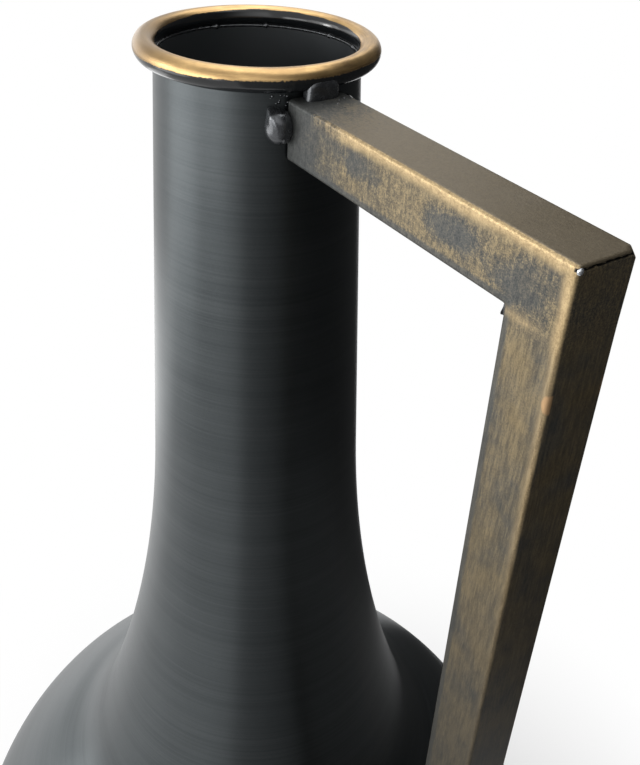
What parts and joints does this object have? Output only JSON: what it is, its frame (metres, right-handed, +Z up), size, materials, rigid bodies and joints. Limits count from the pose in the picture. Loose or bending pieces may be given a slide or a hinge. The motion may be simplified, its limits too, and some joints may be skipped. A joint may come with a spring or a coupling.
{
  "type": "urn vase",
  "caption": "Tall floor vase in the shape of a jug: spun globe body, long flaring neck with a round-bar rim, and a right-angled square-tube handle.",
  "frame": {"origin": "centre of the flat base on the floor, on the vessel's axis", "axes": "+Z up along the vessel's axis, +X from the axis out towards the handle, +Y to the handle's far side"},
  "size_m": [0.454, 0.454, 0.889],
  "materials": {
    "vessel_black": "satin blackened spun metal with fine turning lines",
    "rim_gilt": "hand-rubbed gold on the top and outside, gloss black underneath",
    "handle_brass": "antique brass rubbed over black, brighter along the edges",
    "weld_black": "gloss black over rough weld"
  },
  "bodies": {
    "root": {"neck_shell": "vessel_black", "shoulder_shell": "vessel_black", "belly_shell": "vessel_black", "rim_ring": "rim_gilt", "rim_weld": "weld_black", "handle_arm": "handle_brass", "arm_end_cap": "handle_brass", "handle_leg": "handle_brass", "elbow_welds": "handle_brass", "leg_foot_weld": "weld_black", "neck_weld_near": "weld_black", "neck_weld_far": "weld_black", "rim_tack_weld": "weld_black"}
  },
  "joints": []
}
